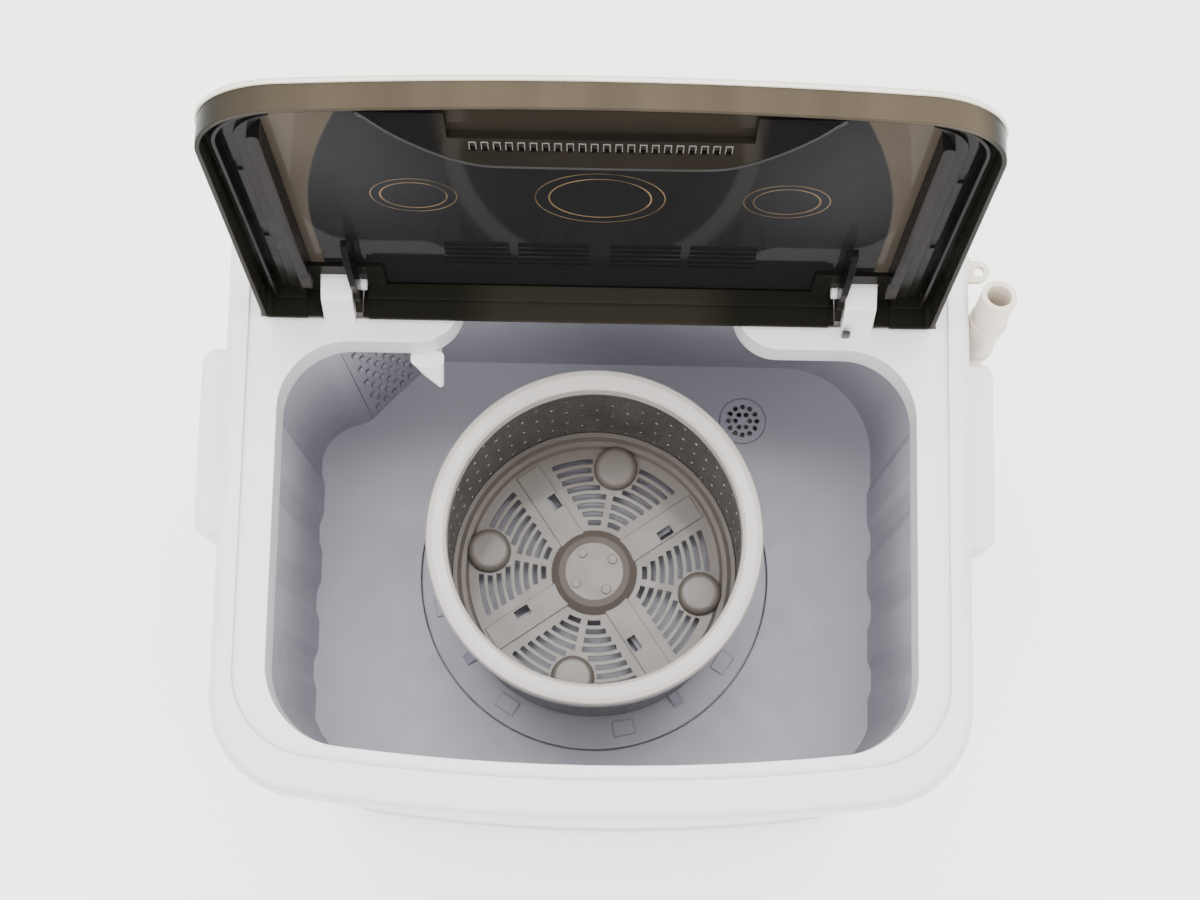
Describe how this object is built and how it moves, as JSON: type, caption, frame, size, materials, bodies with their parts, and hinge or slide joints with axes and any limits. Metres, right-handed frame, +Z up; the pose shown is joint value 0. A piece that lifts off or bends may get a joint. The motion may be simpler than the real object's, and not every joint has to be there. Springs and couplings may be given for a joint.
{
  "type": "mini washing machine",
  "caption": "Small top-loading washing machine with its lid open, a lift-out perforated spin basket standing in the tub and a drain hose at the side",
  "frame": {"origin": "Centre of the footprint on the floor: the bottom of the object's box, with the feet standing on z = 0", "axes": "+Z up, +X to the right seen from the front, +Y to the back; the lid opens toward the back and is drawn open"},
  "size_m": [0.4709, 0.3704, 0.8328],
  "materials": {
    "cabinet_white": "smooth white enamel",
    "white_plastic": "white moulded plastic, slight gloss",
    "cream_plastic": "creamy white gloss plastic",
    "tub_blue_grey": "blue-grey moulded plastic, satin",
    "basket_grey": "warm grey moulded plastic",
    "basket_rim": "light grey moulded plastic",
    "basket_steel": "perforated stainless sheet",
    "smoke_plastic": "smoke-brown moulded plastic",
    "smoke_gloss": "smoke-dark polished sheet",
    "hose_cream": "pale cream flexible plastic",
    "black_rubber": "black rubber",
    "black_plastic": "black moulded plastic",
    "grey_plastic": "grey moulded plastic",
    "facia_grey": "light grey facia",
    "knob_silver": "silver-grey moulded knob",
    "plain_steel": "bright steel",
    "cast_aluminium": "cast aluminium",
    "can_aluminium": "drawn aluminium can",
    "grey_paint": "grey painted plate",
    "motor_paint": "dark painted motor"
  },
  "bodies": {
    "machine": {"feet": "black_rubber", "base_plinth": "white_plastic", "cabinet_shell": "cabinet_white", "rear_cover": "white_plastic", "rear_cover_screws": "plain_steel", "cord_gland": "black_plastic", "inner_tub": "tub_blue_grey", "overflow_filter": "tub_blue_grey", "drain_strainer": "tub_blue_grey", "inlet_spout": "white_plastic", "inlet_pipe": "white_plastic", "top_frame": "white_plastic", "hinge_pins": "white_plastic", "lid_switch": "black_plastic", "handle_left": "white_plastic", "handle_right": "white_plastic", "control_console": "white_plastic", "console_facia": "facia_grey", "timer_unit": "grey_plastic", "selector_unit": "grey_plastic", "bearing_housing": "cast_aluminium", "upper_bearing": "plain_steel", "lower_bearing": "plain_steel", "shaft_seal": "black_rubber", "motor_plate": "grey_paint", "motor_mounts": "black_rubber", "motor": "motor_paint", "capacitor": "can_aluminium", "drive_belt": "black_rubber", "drain_valve": "white_plastic", "drain_pipe": "grey_plastic", "outlet_elbow": "hose_cream", "drain_hose": "hose_cream", "hose_cuff": "hose_cream", "hose_clip": "white_plastic", "hose_hook": "hose_cream"},
    "lid": {"lid_frame": "smoke_plastic", "lid_panel": "smoke_gloss", "lid_bezel": "cream_plastic"},
    "pulsator_drive": {"pulsator": "tub_blue_grey", "pulsator_cap": "plain_steel", "drive_shaft": "plain_steel", "tub_pulley": "cast_aluminium", "pulley_nut": "plain_steel"},
    "spin_basket": {"basket_base": "basket_grey", "basket_wall": "basket_steel", "basket_ring": "basket_rim"},
    "motor_rotor": {"motor_pulley": "cast_aluminium", "motor_shaft": "plain_steel"},
    "timer_control": {"timer_knob": "knob_silver", "timer_spindle": "grey_plastic"},
    "selector_control": {"selector_knob": "knob_silver", "selector_spindle": "grey_plastic"}
  },
  "joints": [
    {"name": "lid_hinge", "type": "hinge", "parent": "machine", "child": "lid", "pos_m": [0, 0.1155, 0.564], "axis": [1, 0, 0], "range_deg": [0, 96]},
    {"name": "pulsator_spin", "type": "hinge", "parent": "machine", "child": "pulsator_drive", "pos_m": [0, -0.015, 0.29], "axis": [0, 0, 1], "continuous": true},
    {"name": "basket_lift", "type": "slide", "parent": "pulsator_drive", "child": "spin_basket", "axis": [0, 0, -1], "range_m": [-0.26, 0]},
    {"name": "motor_spin", "type": "hinge", "parent": "machine", "child": "motor_rotor", "pos_m": [-0.105, 0.035, 0.15], "axis": [0, 0, 1], "continuous": true},
    {"name": "timer_turn", "type": "hinge", "parent": "machine", "child": "timer_control", "pos_m": [0.088, 0.1555, 0.57566], "axis": [0, -0.309, 0.9511], "range_deg": [0, 300]},
    {"name": "selector_turn", "type": "hinge", "parent": "machine", "child": "selector_control", "pos_m": [-0.088, 0.1555, 0.57566], "axis": [0, -0.309, 0.9511], "range_deg": [0, 90]}
  ],
  "couplings": [
    {"joint": "motor_spin", "follows": "pulsator_spin", "ratio": 4.4839}
  ]
}
